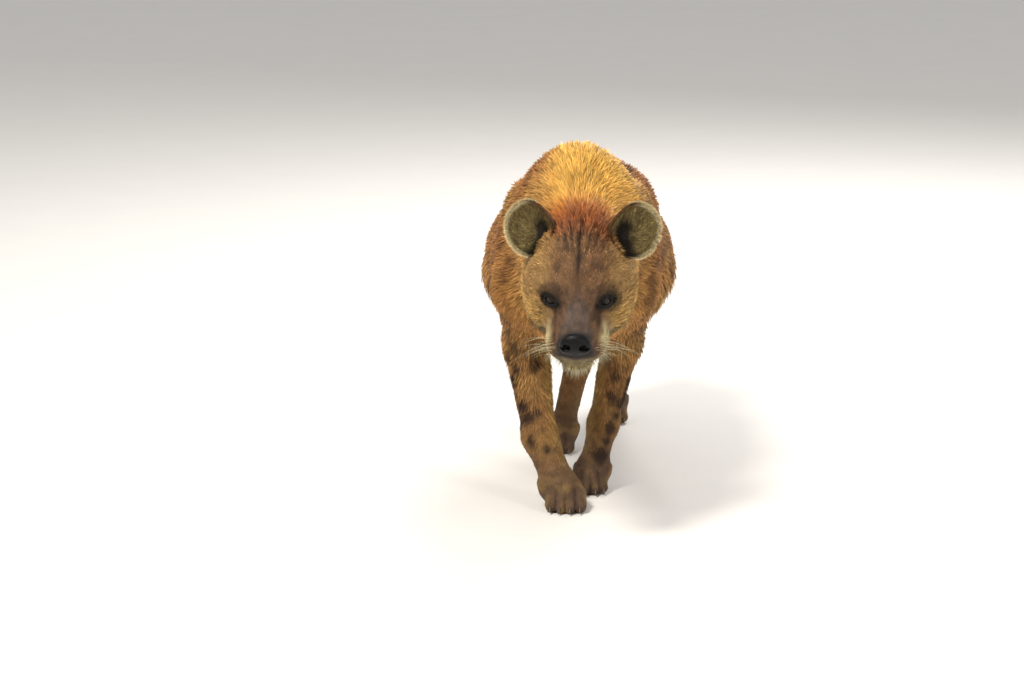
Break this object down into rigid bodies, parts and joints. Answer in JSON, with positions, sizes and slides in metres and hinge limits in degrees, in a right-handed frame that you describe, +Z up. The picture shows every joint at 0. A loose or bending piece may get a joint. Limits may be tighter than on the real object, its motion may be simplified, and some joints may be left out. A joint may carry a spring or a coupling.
{
  "type": "spotted hyena",
  "caption": "Life-size model of a spotted hyena walking forward with its head low, round ears up and a short golden mane",
  "frame": {"origin": "centre of the footprint of the bounding box on the floor", "axes": "+X the animal's left, -Y the way it faces, +Z up"},
  "size_m": [0.4456, 1.4166, 0.8186],
  "materials": {
    "coat_body": "short reddish-brown fur with dark spots",
    "coat_mane": "longer golden hair of the neck and shoulders",
    "coat_head": "very short brown fur",
    "coat_dark": "black-brown long hair",
    "coat_paw": "short brown fur of the feet",
    "nose_leather": "moist pebbled black skin",
    "eye": "wet dark brown eye"
  },
  "bodies": {
    "root": {"torso": "coat_body", "neck": "coat_mane", "head": "coat_head", "nose": "nose_leather", "eye_right": "eye", "eye_left": "eye", "ear_right": "coat_head", "ear_left": "coat_head", "tail": "coat_body", "tail_tuft": "coat_dark", "forepastern_right": "coat_body", "hindpastern_right": "coat_body", "foreleg_right": "coat_body", "forepaw_right": "coat_paw", "hindleg_right": "coat_body", "hindpaw_right": "coat_paw", "forepastern_left": "coat_body", "hindpastern_left": "coat_body", "foreleg_left": "coat_body", "forepaw_left": "coat_paw", "hindleg_left": "coat_body", "hindpaw_left": "coat_paw"}
  },
  "joints": []
}
